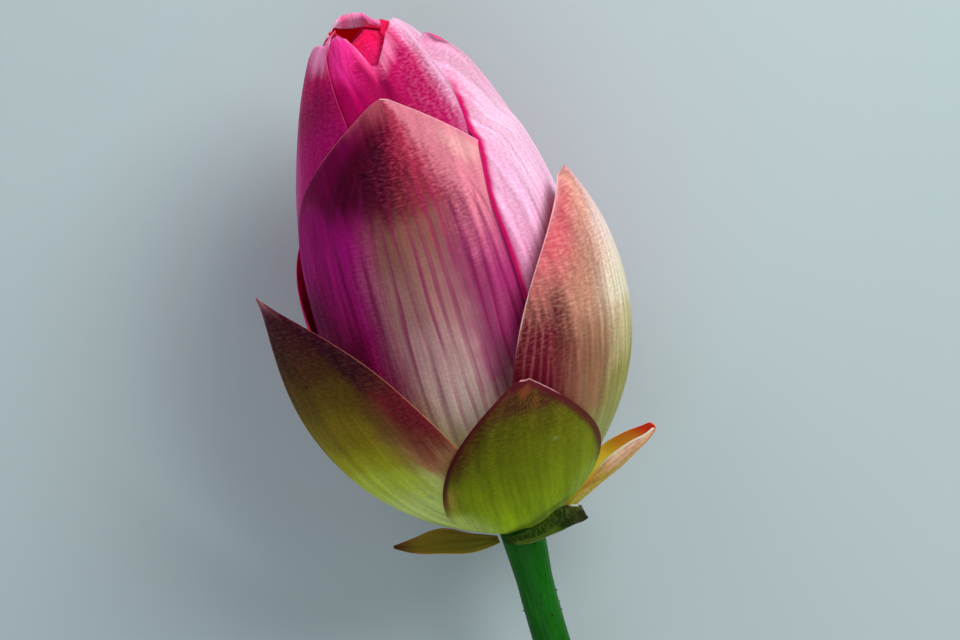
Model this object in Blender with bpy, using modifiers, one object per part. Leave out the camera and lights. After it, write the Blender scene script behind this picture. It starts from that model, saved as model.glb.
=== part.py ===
"""Lotus flower in bud, picked with a length of its stem and lying on its back.

Metres, +Z up. Every piece is shaped in the flower's own frame (x to the right, -y to the
side that ends up on top, z up the flower from the top of the stem) and hangs from one empty
that lays the flower down: its axis along +Y, tip raised, back petals and cut stem end on z = 0.
"""
import math

import bmesh
import bpy
import numpy as np
from mathutils import Matrix, Vector

MM = 0.001

# ---- driving dimensions, millimetres and degrees --------------------------------------------
TILT = 8.6                       # the flower's axis above the surface it lies on
FLOWER_AT = (0.8, 7.6, 23.28)     # top of the stem in the row frame

# meridian of the bud at whorl 5: (radius, height)
MERIDIAN = ((0, 5.5), (4.5, 7.1), (9.9, 9.7), (14.5, 13.4), (18.8, 18.6), (24.4, 29), (26.7, 38),
            (27.3, 48), (27.1, 58), (26.5, 66), (24.3, 77.5), (21.1, 87.3), (16.5, 98),
            (13.6, 103.2), (10.4, 107.7), (6.5, 111))
WHORL_OF_MERIDIAN = 5
WHORL_PITCH = 1.05               # from one whorl's petals to the next, square to the meridian
PETAL_THICKNESS = 0.5
SEPAL_THICKNESS = 0.6

TORUS_RADIUS = 4.35              # the stem's top, which the petals grow from
TORUS_TOP = 13.2
CLAW_RADIUS = 4.68               # where a petal's narrow foot ends
STEM_RADIUS = 3.65
STEM_LENGTH = 125.0
STEM_SIDES = 20

POD_BASE, POD_TOP = 13.5, 27.0   # seed pod (receptacle)
POD_FOOT, POD_RIM = 3.2, 8.2
STAMEN_BASE, STAMEN_TOP = 14.2, 30.0
STAMEN_PLEATS = 18


# ---- the shape of the bud -------------------------------------------------------------------
def spline(points, count):
    """Natural cubic spline through the points, sampled evenly by chord length."""
    p = np.asarray(points, float)
    t = np.concatenate([[0], np.cumsum(np.linalg.norm(np.diff(p, axis=0), axis=1))])
    m, h = len(p), np.diff(t)
    a, b = np.eye(m), np.zeros((m, p.shape[1]))
    for i in range(1, m - 1):
        a[i, i - 1:i + 2] = h[i - 1], 2 * (h[i - 1] + h[i]), h[i]
        b[i] = 6 * ((p[i + 1] - p[i]) / h[i] - (p[i] - p[i - 1]) / h[i - 1])
    bend = np.linalg.solve(a, b)
    x = np.linspace(0, t[-1], count)
    k = np.clip(np.searchsorted(t, x, side="right") - 1, 0, m - 2)
    lo, hi, w = (x - t[k])[:, None], (t[k + 1] - x)[:, None], h[k][:, None]
    return ((bend[k] * hi ** 3 + bend[k + 1] * lo ** 3) / (6 * w)
            + (p[k] / w - bend[k] * w / 6) * hi + (p[k + 1] / w - bend[k + 1] * w / 6) * lo)


def whorl_meridian(whorl):
    """Distance along the whorl's own meridian from the claws, with points and normals."""
    base = spline(MERIDIAN, 600)
    along = np.gradient(base, axis=0)
    along /= np.linalg.norm(along, axis=1)[:, None]
    normal = np.stack([along[:, 1], -along[:, 0]], 1)
    points = base + normal * (whorl - WHORL_OF_MERIDIAN) * WHORL_PITCH
    arc = np.concatenate([[0], np.cumsum(np.linalg.norm(np.diff(points, axis=0), axis=1))])
    return arc - np.interp(CLAW_RADIUS, points[:300, 0], arc[:300]), points, normal


def axis_x(s):
    """Sideways drift of the flower's axis at height s."""
    return 1.4 * np.clip(1 - np.abs(s) / 35, 0, 1) ** 2 - 1.5 * (np.clip(s, 0, None) / 100) ** 4


def on_flower(r, phi, s):
    """Polar place on the flower, a little out of round as every grown bud is: fuller low on the
    left and flatter underneath at the front."""
    k = np.sin(np.clip(s, 0, 110) / 110 * math.pi)
    r = r * (1 + 0.012 * k * np.cos(2 * phi + 0.6) + 0.010 * k * np.cos(3 * phi - 0.9))
    r = r + 1.3 * np.exp(-((s - 14) / 11) ** 2) * np.clip(np.cos(phi + 1.3), 0, 1) ** 2
    s = s + 1.5 * np.exp(-((s - 4) / 6) ** 2) * np.clip(np.cos(phi), 0, 1) ** 2
    return np.stack([r * np.sin(phi) + axis_x(s), -r * np.cos(phi), s], -1)


def through_thirds(values, v):
    """Smooth curve with the given values at v = 0, 1/3, 2/3 and 1."""
    knots = (0, 1 / 3, 2 / 3, 1)
    total = 0
    for i, value in enumerate(values):
        term = value
        for j, knot in enumerate(knots):
            if j != i:
                term = term * (v - knot) / (knots[i] - knot)
        total = total + term
    return total


# ---- making objects -------------------------------------------------------------------------
def material(name, colour, rough):
    mat = bpy.data.materials.new(name)
    mat.use_nodes = True
    shader = mat.node_tree.nodes["Principled BSDF"]
    shader.inputs["Base Color"].default_value = (*colour, 1)
    shader.inputs["Roughness"].default_value = rough
    return mat


def finish(bm, name, mat, thickness=0.0):
    """One named object from a mesh in millimetres, as a sheet of the given thickness."""
    bmesh.ops.scale(bm, vec=(MM, MM, MM), verts=bm.verts)
    bmesh.ops.recalc_face_normals(bm, faces=bm.faces)
    mesh = bpy.data.meshes.new(name)
    bm.to_mesh(mesh)
    bm.free()
    mesh.materials.append(mat)
    obj = bpy.data.objects.new(name, mesh)
    flower_parts.objects.link(obj)
    obj.parent = flower
    if thickness:
        sheet = obj.modifiers.new("thickness", "SOLIDIFY")
        sheet.thickness = thickness * MM
        sheet.offset = 0
        sheet.use_rim = True
    return obj


def sheet_from(surface, name, mat, thickness, across, along):
    """Grid of across x along cells bent onto surface(u, v), u from -1 to 1 and v from 0 to 1."""
    bm = bmesh.new()
    bmesh.ops.create_grid(bm, x_segments=across, y_segments=along, size=1)
    uv = np.array([vert.co[:2] for vert in bm.verts])
    for vert, place in zip(bm.verts, surface(uv[:, 0], (uv[:, 1] + 1) / 2)):
        vert.co = place
    return finish(bm, name, mat, thickness)


def tube(stations, sides, name, mat):
    """Closed tube through stations of (centre, direction, radius)."""
    frames = []
    for centre, direction, radius in stations:
        turn = Vector((0, 0, 1)).rotation_difference(Vector(direction)).to_matrix().to_4x4()
        frames.append(Matrix.Translation(Vector(centre)) @ turn @ Matrix.Scale(radius, 4))
    bm = bmesh.new()
    bmesh.ops.create_circle(bm, cap_ends=False, segments=sides, radius=1, matrix=frames[0])
    ring = bm.edges[:]
    bmesh.ops.edgeloop_fill(bm, edges=ring)
    for before, after in zip(frames, frames[1:]):
        grown = bmesh.ops.extrude_edge_only(bm, edges=ring)["geom"]
        ring = [g for g in grown if isinstance(g, bmesh.types.BMEdge)]
        verts = [g for g in grown if isinstance(g, bmesh.types.BMVert)]
        bmesh.ops.transform(bm, matrix=after @ before.inverted(), verts=verts)
    bmesh.ops.edgeloop_fill(bm, edges=ring)
    return finish(bm, name, mat)


# ---- petals and broad sepals ----------------------------------------------------------------
def petal(name, mat, azimuth, whorl, tip, half_width, taper=48, power=1.9, tip_width=1.0,
          foot=34, bow=(0, 0, 0, 0), hug=0.8, turn=0, turn_power=5, wrap=60, crest=((-1, 3), (0, 0), (1, 3)),
          skew=0, thickness=PETAL_THICKNESS, cells=(8, 14)):
    """A petal lying along its whorl.

    azimuth: its middle, degrees from the side that ends up on top; tip: height of its tip;
    half_width: of the laid-out petal, narrowing over the last `taper` to tip_width and over the
    first `foot` to the claw; bow: how far it stands off the whorl at each third of its length;
    turn: how far its tip leans round; wrap: the most it reaches round the bud on each side;
    crest: how far the tip's edge drops at places across it; skew: how much wider one side is.
    """
    arc, points, normal = whorl_meridian(whorl)
    length = np.interp(tip, points[:, 1], arc)

    def surface(u, v):
        drop = np.interp(u, *np.array(crest, float).T)
        a = v * (length - drop)
        r, s = np.interp(a, arc, points[:, 0]), np.interp(a, arc, points[:, 1])
        off = through_thirds(bow, v) * (1 - hug * u ** 2)
        narrowing = 1 - (1 - np.clip((1 - v) * length / min(taper, 0.75 * length), 0, 1)) ** power
        widening = 1 - (1 - np.clip(v * length / min(foot, 0.6 * length), 0, 1)) ** 2.2
        width = tip_width + (half_width - tip_width) * narrowing
        width = width * (4.2 / half_width + (1 - 4.2 / half_width) * widening) * (1 + skew * u)
        reach = width / r / math.radians(wrap)
        angle = math.radians(wrap) * reach / (1 + reach ** 8) ** 0.125
        phi = np.radians(azimuth + turn * v ** turn_power) + u * angle
        return on_flower(r + np.interp(a, arc, normal[:, 0]) * off, phi,
                         s + np.interp(a, arc, normal[:, 1]) * off)

    return sheet_from(surface, name, mat, thickness, *cells)


def strap_sepal(name, mat, line, side, thickness=SEPAL_THICKNESS, cells=(6, 12)):
    """A small withered sepal: a strip along a line, its cross-section an arc.

    line: rows of x, y, z, half width and half angle of the arc (degrees) from foot to tip;
    side: the blade's across direction.
    """
    path = spline([(x, y, z, half, math.radians(roll)) for x, y, z, half, roll in line], 200)
    way = np.gradient(path[:, :3], axis=0)
    way /= np.linalg.norm(way, axis=1)[:, None]
    across = side - way * (way @ side)[:, None]
    across /= np.linalg.norm(across, axis=1)[:, None]
    inward = np.cross(way, across)

    def surface(u, v):
        def at(rows):
            return np.stack([np.interp(v, np.linspace(0, 1, 200), column) for column in rows.T], 1)

        radius = at(path[:, 3:4] / path[:, 4:5])
        turned = at(path[:, 4:5]) * u[:, None]
        return (at(path[:, :3]) + at(across) * radius * np.sin(turned)
                + at(inward) * radius * (1 - np.cos(turned)))

    return sheet_from(surface, name, mat, thickness, *cells)


# ---- build ----------------------------------------------------------------------------------
for old in list(bpy.data.objects):
    bpy.data.objects.remove(old, do_unlink=True)

flower_parts = bpy.data.collections.new("lotus_flower")
bpy.context.scene.collection.children.link(flower_parts)
flower = bpy.data.objects.new("flower_frame", None)
flower_parts.objects.link(flower)
flower.location = [c * MM for c in FLOWER_AT]
flower.rotation_euler = (-math.radians(90 - TILT), 0, 0)

GREEN = material("stem_green", (0.035, 0.16, 0.03), 0.45)
OLIVE = material("sepal_olive", (0.30, 0.30, 0.05), 0.5)
DARK = material("withered_green", (0.05, 0.09, 0.03), 0.6)
ORANGE = material("withered_orange", (0.75, 0.30, 0.08), 0.55)
YELLOW = material("withered_olive", (0.36, 0.32, 0.07), 0.55)
MAROON = material("sepal_maroon", (0.20, 0.08, 0.05), 0.5)
CORAL = material("petal_coral", (0.72, 0.42, 0.30), 0.5)
PURPLE = material("petal_magenta", (0.45, 0.06, 0.25), 0.5)
PINK = material("petal_pink", (0.85, 0.30, 0.50), 0.5)
HOT = material("petal_hot_pink", (0.80, 0.05, 0.35), 0.5)
INNER = material("petal_inner", (0.85, 0.42, 0.55), 0.5)
POD = material("seed_pod", (0.55, 0.60, 0.12), 0.5)
STAMEN = material("stamens", (0.85, 0.62, 0.12), 0.6)

# stem from its cut end up to the torus that the petals grow from
stem_line = spline(((9.5, 0.6, -STEM_LENGTH), (4.5, 1.2, -85), (1.6, 1.0, -50), (1.0, 0.3, -21), (1.2, 0, -8),
                    (1.35, 0, 0), (axis_x(6.0), 0, 6), (axis_x(TORUS_TOP), 0, TORUS_TOP)), 29)
stem_way = np.gradient(stem_line, axis=0)
stem_radius = np.interp(stem_line[:, 2], (-STEM_LENGTH, -60, -9, -1.5, 1),
                        (3.9, STEM_RADIUS, STEM_RADIUS, 4.3, TORUS_RADIUS))
tube(list(zip(stem_line, stem_way, stem_radius)), STEM_SIDES, "stem", GREEN)

# seed pod: an upturned cone on the torus, with a soft shoulder
pod = ((POD_BASE, POD_FOOT), (16, 4.1), (20, 5.9), (24, 7.5), (26, POD_RIM), (POD_TOP, 7.7), (27.6, 6.0))
tube([((float(axis_x(s)), 0, s), (0, 0, 1), r) for s, r in pod], 20, "seed_pod", POD)


# stamens: one pleated collar standing round the seed pod
def stamens(name, mat):
    around, section = STAMEN_PLEATS * 4, 10
    bm = bmesh.new()
    bmesh.ops.create_grid(bm, x_segments=around, y_segments=section, size=1)
    for vert in bm.verts:
        turn, loop = vert.co.x * math.pi, vert.co.y * math.pi
        up = 0.5 - 0.5 * math.cos(loop)
        pleat = math.cos(STAMEN_PLEATS * turn)
        height = STAMEN_BASE + (STAMEN_TOP - STAMEN_BASE + 1.2 * pleat) * up
        wall = 0.75 * math.sin(loop) * (0.7 + 0.3 * up)
        r = 5.6 + 5.6 * up - 1.2 * up * up + 0.45 * pleat * up + wall
        vert.co = (r * math.sin(turn) + float(axis_x(height)), r * math.cos(turn), height)
    bmesh.ops.remove_doubles(bm, verts=bm.verts, dist=0.001)
    return finish(bm, name, mat)


stamens("stamens", STAMEN)

# withered sepals at the foot of the bud
strap_sepal("sepal_withered_left", YELLOW,
            ((-3.6, -0.9, 1.1, 0.9, 20), (-6.0, -1.6, 1.5, 1.7, 20), (-9.8, -2.4, 2.3, 2.7, 22),
             (-13.8, -3.2, 3.8, 3.4, 28), (-19.4, -4.8, 5.0, 2.2, 32), (-24.1, -6.3, 6.6, 0.4, 20)),
            (0.1, -0.68, -0.72))
strap_sepal("sepal_withered_right", DARK,
            ((-2.5, -4.7, 1.1, 1.2, 30), (1.7, -7.4, 0.9, 1.9, 45), (5.9, -9.4, 1.7, 2.1, 50),
             (9.6, -10.9, 2.9, 2.9, 45), (12.2, -11.8, 3.5, 3.0, 40), (14.5, -12.3, 3.8, 1.9, 30)),
            (0.45, 0.4, -0.78))
strap_sepal("sepal_curled", ORANGE,
            ((5.9, 1.2, -0.8, 1.6, 30), (9.0, 2, 1.2, 2.0, 60), (12.6, 2.6, 3.1, 2.7, 95),
             (16.8, 3.2, 5.0, 4.0, 118), (20.6, 3.2, 6.8, 5.6, 128), (24.4, 2.6, 8.7, 6.6, 132),
             (28.8, 1.2, 11.3, 5.2, 130), (31.2, 0.4, 12.8, 3.5, 118), (33.0, -0.3, 14.4, 1.7, 100)),
            (-0.24, 0.906, 0.35), cells=(10, 14))

# sepals and petals, outermost first
petal("sepal_front", OLIVE, 2, 10, 37.5, 19.5, taper=34.8, power=2.8, tip_width=1.4, foot=20,
      bow=(0, -0.1, 2.6, 4), hug=0.3, turn=13, wrap=64, crest=((-1, 0.6), (0, 0), (1, 0.6)), skew=0.3,
      thickness=SEPAL_THICKNESS, cells=(10, 10))
petal("sepal_left", MAROON, -47.6, 9, 63.8, 17.6, taper=50.6, power=2.44, tip_width=0.4, foot=43,
      bow=(0, 0.9, 5.7, 11), hug=0.05, turn=-10, turn_power=8.6, wrap=68, crest=((-1, 1), (0, 0), (1, 1)),
      skew=0.1, thickness=SEPAL_THICKNESS, cells=(8, 12))
petal("petal_right_outer", CORAL, 58.5, 9, 71.3, 25.5, taper=48, power=2.5, foot=42, bow=(0, 1, 5.7, 2.4),
      hug=0.75, turn=11, wrap=66, crest=((-1, 1), (0, 0), (1, 1)), cells=(8, 13))
petal("petal_back_left", PINK, -136, 8.2, 72, 19, taper=36, bow=(0, 0.5, 3.0, 1.6), hug=1, wrap=30,
      cells=(8, 12))
petal("petal_back_right", PINK, 138, 7.6, 80, 20, taper=38, bow=(0, 0.5, 2.4, 1.6), hug=1, wrap=30,
      cells=(8, 12))
petal("petal_side_left", HOT, -126, 6, 75, 29, taper=34, cells=(8, 13))
petal("petal_right_inner", PINK, 92, 6, 104.3, 31, taper=38, power=0.85, turn=-31, turn_power=12, wrap=62,
      crest=((-1, 0.5), (0, 0), (1, 2.5)), skew=-0.2, cells=(10, 16))
petal("petal_front", PURPLE, -2, 5, 94.8, 40.6, taper=32.5, power=1.17, tip_width=1.8, wrap=74,
      crest=((-1, 0.8), (0, 0), (1, 0.5)), skew=-0.14, cells=(12, 14))
petal("petal_back", PINK, 176, 5, 100, 36, taper=42, wrap=80, cells=(12, 14))
petal("petal_left_inner", PURPLE, -66, 4, 107.9, 28, taper=57, power=1.1, turn=-17, tip_width=5.4, wrap=62,
      bow=(0, 0, -0.3, -0.3), crest=((-1, 5), (-0.67, 4), (-0.36, 2.7), (0, 1.5), (0.56, 1.2), (1, 1.8)),
      skew=0.15)
petal("petal_right_back", PINK, 110, 4, 102.5, 27, tip_width=3, wrap=58)
petal("petal_front_inner", HOT, 22, 3, 112, 27, taper=50, tip_width=12, wrap=92,
      crest=((-1, 6), (-0.75, 2.6), (-0.5, 5), (-0.35, 11.5), (-0.1, 8.5), (0.15, 4.8), (0.5, 2.4), (0.87, 2),
             (1, 5)), cells=(16, 16))
petal("petal_back_inner", HOT, -170, 3, 112, 27, taper=50, tip_width=7,
      crest=((-1, 4), (-0.5, 1), (0, 0), (0.5, 0.5), (1, 3)))
petal("petal_inner_left", INNER, -105, 2, 109.5, 26, tip_width=5)
petal("petal_inner_right", INNER, 75, 2, 109, 26, tip_width=5)
petal("petal_inner_front", INNER, 14, 1, 107.5, 25, tip_width=4)
petal("petal_inner_back", INNER, 160, 1, 108, 25, tip_width=4)
petal("petal_core_left", INNER, -90, 0, 92, 24, tip_width=3)
petal("petal_core_right", INNER, 90, 0, 90, 24, tip_width=3)
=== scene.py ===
"""Lotus flower in bud, cut with a length of its stem and laid on its back on a pale floor.

Shapes are worked out in millimetres in the flower's own frame (x to its right, -y towards the side
that lies on top, z up the flower from the top of the stem) and laid down as they become meshes.
"""

import math

import bpy
import numpy as np
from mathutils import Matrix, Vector


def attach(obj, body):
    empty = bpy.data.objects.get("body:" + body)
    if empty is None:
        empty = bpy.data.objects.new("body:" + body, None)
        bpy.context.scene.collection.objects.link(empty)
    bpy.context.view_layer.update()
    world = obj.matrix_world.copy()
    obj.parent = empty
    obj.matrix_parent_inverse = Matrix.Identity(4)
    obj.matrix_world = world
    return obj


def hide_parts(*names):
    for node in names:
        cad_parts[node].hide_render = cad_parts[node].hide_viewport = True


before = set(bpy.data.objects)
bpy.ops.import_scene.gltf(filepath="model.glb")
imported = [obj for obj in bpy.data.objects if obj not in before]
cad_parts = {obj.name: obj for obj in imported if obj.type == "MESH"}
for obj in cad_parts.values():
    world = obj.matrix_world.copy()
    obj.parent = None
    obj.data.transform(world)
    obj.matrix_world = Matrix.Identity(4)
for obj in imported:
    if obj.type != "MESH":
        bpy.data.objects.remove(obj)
scene = bpy.context.scene
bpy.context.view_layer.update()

# ------------------------------
# The stem: a solid green stalk 7.3 mm thick, waxy and finely ribbed, that swells into the knob
# the petals grow from. It was cut straight across, which opens the air canals inside it.
LEAN_BACK = math.radians(8.6)
STEM_TOP_AT = np.array((0.8, 7.6, 23.28))
STEM_LINE = ((9.5, 0.6, -125), (4.5, 1.2, -85), (1.6, 1, -50), (1, 0.3, -21), (1.2, 0, -8),
             (1.35, 0, 0), (0.961, 0, 6), (0.543, 0, 13.2))
STEM_ROWS, STEM_SIDES = 240, 96
STEM_RIBS, RIB_HEIGHT, UNEVEN = 22, 0.035, 0.05
CUT_EDGE = (0.995, 0.975, 0.94)
CUT_RINGS = 34
CANALS = ((1.45, 4, 0.62, 0.4), (2.75, 9, 0.3, 0.1))
CANAL_DEPTH = 1.8


def spline(points, count):
    """Natural cubic spline: between neighbouring points the bend varies evenly, and is nil at both ends."""
    p = np.asarray(points, float)
    t = np.concatenate([[0], np.cumsum(np.linalg.norm(np.diff(p, axis=0), axis=1))])
    m, h = len(p), np.diff(t)
    a, b = np.eye(m), np.zeros((m, p.shape[1]))
    for i in range(1, m - 1):
        a[i, i - 1:i + 2] = h[i - 1], 2 * (h[i - 1] + h[i]), h[i]
        b[i] = 6 * ((p[i + 1] - p[i]) / h[i] - (p[i] - p[i - 1]) / h[i - 1])
    bend = np.linalg.solve(a, b)
    x = np.linspace(0, t[-1], count)
    k = np.clip(np.searchsorted(t, x, side="right") - 1, 0, m - 2)
    lo, hi, w = (x - t[k])[:, None], (t[k + 1] - x)[:, None], h[k][:, None]
    return ((bend[k] * hi ** 3 + bend[k + 1] * lo ** 3) / (6 * w)
            + (p[k] / w - bend[k] * w / 6) * hi + (p[k + 1] / w - bend[k + 1] * w / 6) * lo)


def headings(line):
    """Unit steps along a line: the difference of its neighbouring points over its length."""
    way = np.gradient(line, axis=0)
    return way / np.linalg.norm(way, axis=1)[:, None]


def lay_down(points):
    """The flower's frame turned back about its side-to-side axis, set on the floor, in metres."""
    c, s = math.cos(LEAN_BACK), math.sin(LEAN_BACK)
    x, y, z = np.moveaxis(np.asarray(points, float), -1, 0)
    return (np.stack([x, y * s + z * c, -y * c + z * s], -1) + STEM_TOP_AT) / 1000


def smooth(x, low, high):
    """0 below low, 1 above high, and an even S between them."""
    t = np.clip((x - low) / (high - low), 0, 1)
    return t * t * (3 - 2 * t)


def ripple(a, b, seed):
    """Soft unevenness of about -1 to 1: five sine waves that cross at different angles and lengths."""
    total = 0
    for i in range(5):
        turn, pace = seed * 1.7 + i * 2.4, 0.7 + 0.37 * i
        run = a * math.cos(turn) + b * math.sin(turn)
        total = total + np.sin(pace * run + 3.1 * i + seed) / (1 + 0.4 * i)
    return total / 2.6


def circle(sides):
    """Angles of evenly spaced points round a circle."""
    return np.linspace(0, 2 * math.pi, sides, endpoint=False)


def grid_faces(rows, columns, around=False, start=0):
    """Quads between neighbours in a rows x columns grid; around joins its last column to its first."""
    r = np.arange(rows - 1)[:, None]
    c = np.arange(columns if around else columns - 1)[None, :]
    d = (c + 1) % columns
    quads = np.stack([r * columns + c, r * columns + d, (r + 1) * columns + d, (r + 1) * columns + c], -1)
    return quads.reshape(-1, 4) + start


def tube_faces(rows, sides, tubes=1):
    """Faces of closed tubes: the quads of each one's rings, and the first and last ring as its caps."""
    faces = []
    for first in range(0, tubes * rows * sides, rows * sides):
        last = first + (rows - 1) * sides
        faces += [tuple(f) for f in grid_faces(rows, sides, around=True, start=first)]
        faces += [tuple(range(first + sides - 1, first - 1, -1)), tuple(range(last, last + sides))]
    return faces


def make_piece(name, points, faces, finish, node=None, slot=None, uv=None, **values):
    """A smooth-shaded object at the origin from points in the flower's frame, with a UV map called
    petal and one number a point for each further name."""
    mesh = bpy.data.meshes.new(name)
    mesh.from_pydata(lay_down(points).reshape(-1, 3).tolist(), [], [tuple(f) for f in faces])
    mesh.shade_smooth()
    if uv is not None:
        corner = np.empty(len(mesh.loops), np.int32)
        mesh.loops.foreach_get("vertex_index", corner)
        layer = mesh.uv_layers.new(name="petal")
        layer.data.foreach_set("uv", uv.reshape(-1, 2)[corner].astype(np.float32).ravel())
    for key, value in values.items():
        kept = mesh.attributes.new(key, "FLOAT", "POINT")
        kept.data.foreach_set("value", np.asarray(value, np.float32).ravel())
    mesh.materials.append(finish)
    piece = bpy.data.objects.new(name, mesh)
    scene.collection.objects.link(piece)
    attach(piece, "root")
    if node:
        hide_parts(node)


def is_socket(value):
    """Whether an input comes from another node."""
    return isinstance(value, bpy.types.NodeSocket)


def feed(node, inputs):
    """Each of a node's inputs linked from a socket or given a value."""
    for key, value in inputs.items():
        if is_socket(value):
            node.id_data.links.new(value, node.inputs[key])
        else:
            node.inputs[key].default_value = value


def put(kind, inputs, tree=None, **settings):
    """A node with its settings, in the tree that its inputs come from."""
    made = (tree or next(filter(is_socket, inputs.values())).id_data).nodes.new(kind)
    for key, value in settings.items():
        setattr(made, key, value)
    feed(made, inputs)
    return made


def new_finish(name):
    """A material, its shader, and the object's own coordinates in metres."""
    finish = bpy.data.materials.new(name)
    finish.use_nodes = True
    place = put("ShaderNodeTexCoord", {}, finish.node_tree).outputs["Object"]
    return finish, finish.node_tree.nodes["Principled BSDF"], place


def number(shader, name):
    """The number that the points of a piece with this shader carry under a name."""
    return put("ShaderNodeAttribute", {}, shader.id_data, attribute_name=name).outputs["Fac"]


def sums(operation, a, b=0, c=0):
    """One step of arithmetic on numbers or sockets."""
    return put("ShaderNodeMath", {0: a, 1: b, 2: c}, operation=operation).outputs[0]


def times(a, b):
    """a * b."""
    return sums("MULTIPLY", a, b)


def times_plus(a, b, c):
    """a * b + c."""
    return sums("MULTIPLY_ADD", a, b, c)


def fade(value, low, high, start=0, end=1):
    """Runs smoothly from start to end as the value goes from low to high."""
    inputs = {"Value": value, "From Min": low, "From Max": high, "To Min": start, "To Max": end}
    return put("ShaderNodeMapRange", inputs, interpolation_type="SMOOTHSTEP").outputs["Result"]


def ramp(value, stops):
    """Colours at places from 0 to 1, blended between them; all places are set before any colour,
    because the ramp sorts its stops."""
    made = put("ShaderNodeValToRGB", {"Fac": value})
    band = made.color_ramp
    band.interpolation = "EASE"
    while len(band.elements) < len(stops):
        band.elements.new(0.5)
    for element, (place, colour) in zip(band.elements, stops):
        element.position = place
    for element, (place, colour) in zip(band.elements, stops):
        element.color = (*colour, 1)
    return made.outputs["Color"]


def blend(part, a, b, way="MIX"):
    """Colour a turned towards colour b by a part from 0 to 1."""
    inputs = {"Factor": part}
    for key, value in ((6, a), (7, b)):
        inputs[key] = value if is_socket(value) else (*value, 1)
    return put("ShaderNodeMix", inputs, data_type="RGBA", blend_type=way).outputs[2]


def grain(coords, scale, detail=2, rough=0.5):
    """Cloudy noise from 0 to 1, with about scale swells to one unit of its coordinates."""
    inputs = {"Vector": coords, "Scale": scale, "Detail": detail, "Roughness": rough}
    return put("ShaderNodeTexNoise", inputs).outputs["Fac"]


def bump(height, strength, distance=0.0002):
    """Fine relief of the surface, with its depth in metres."""
    inputs = {"Height": height, "Strength": strength, "Distance": distance}
    return put("ShaderNodeBump", inputs).outputs[0]


stem_line = spline(STEM_LINE, STEM_ROWS)
stem_way = headings(stem_line)
stem_side = np.cross(stem_way, (0, 1, 0))
stem_side /= np.linalg.norm(stem_side, axis=1)[:, None]
stem_front = np.cross(stem_side, stem_way)


def stem_radius(z):
    """3.65 mm, swelling to 4.3 mm under the flower and to 3.9 mm at the cut."""
    return np.interp(z, (-125, -60, -9, -1.5, 1), (3.9, 3.65, 3.65, 4.25, 4.3))


def canal_depth(x, y):
    """How deep the cut face sinks at x, y: wide air canals round the middle and a ring of narrow ones,
    each row of canals a distance out, a count, a radius and a turn."""
    deep = 0
    for out, count, wide, turn in CANALS:
        for i in range(count):
            a = turn + 2 * math.pi * i / count
            gap = np.hypot(x - out * math.cos(a), y - out * math.sin(a))
            deep = deep + CANAL_DEPTH * (1 - smooth(gap, wide - 0.14, wide + 0.06))
    return deep


def stem_points(sides):
    """Rings along the stem, ribbed by a cosine round them, then rings closing in over the cut face."""
    a = circle(sides)
    c, s = np.cos(a), np.sin(a)
    z = stem_line[:, 2:]
    r = stem_radius(z) + (RIB_HEIGHT * np.cos(STEM_RIBS * a) + UNEVEN * ripple(z * 0.2, c * 3, 2))
    spokes = c[:, None] * stem_side[:, None] + s[:, None] * stem_front[:, None]
    wall = stem_line[:, None] + r[..., None] * spokes
    edge = np.array((*CUT_EDGE, *np.linspace(0.9, 0.02, CUT_RINGS)))
    x, y = r[0] * edge[:, None] * c, r[0] * edge[:, None] * s
    sink = canal_depth(x, y) - np.interp(edge, (0.9, 0.94, 0.995), (0.12, 0.1, 0.02))[:, None]
    face = (stem_line[0] + x[..., None] * stem_side[0] + y[..., None] * stem_front[0]
            + sink[..., None] * stem_way[0])
    top = stem_line[-1] + (wall[-1] - stem_line[-1])[None] * np.array((0.6, 0.02))[:, None, None]
    return np.concatenate([face[::-1], wall, top])


stem_finish, shader, place = new_finish("stem skin")
lengthwise = put("ShaderNodeMapping", {"Vector": place, "Scale": (1500, 60, 1500)}).outputs[0]
streaks, patches = grain(lengthwise, 1, 3), grain(place, 160, 3)
skin = ramp(sums("ADD", times(streaks, 0.7), times(patches, 0.3)),
            ((0.25, (0.002, 0.075, 0)), (0.5, (0.004, 0.12, 0.001)), (0.75, (0.016, 0.18, 0.008))))
flesh = ramp(grain(place, 1600, 2), ((0.3, (0.3, 0.42, 0.16)), (0.7, (0.5, 0.58, 0.3))))
feed(shader, {"Base Color": blend(number(shader, "cut"), skin, flesh),
              "Roughness": fade(streaks, 0.3, 0.7, 0.4, 0.5),
              "Normal": bump(streaks, 0.2),
              "Specular IOR Level": 0.15,
              "Subsurface Weight": 0.08,
              "Subsurface Radius": (0.0006, 0.0012, 0.0003)})

points = stem_points(STEM_SIDES)
cut = np.zeros(points.shape[:2])
cut[:CUT_RINGS + 1] = 1
# Its rings turn the other way from the other tubes', so each face is reversed to point outwards.
stem_faces = [face[::-1] for face in tube_faces(len(points), STEM_SIDES)]
make_piece("stem_skin", points, stem_faces, stem_finish, "stem", "stem", cut=cut)

# ------------------------------
# The prickles: short, stiff, dark-tipped points that grow out of the stem's skin, thinly scattered
# all along it and leaning a little towards the flower.
PRICKLES, PRICKLE_SIDES = 190, 7
PRICKLE_RINGS = ((0, 0.3), (0.45, 0.15), (0.85, 0.07), (1, 0.01))
BARE_ROWS = 196
GOLDEN_TURN = 2.39996

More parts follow.
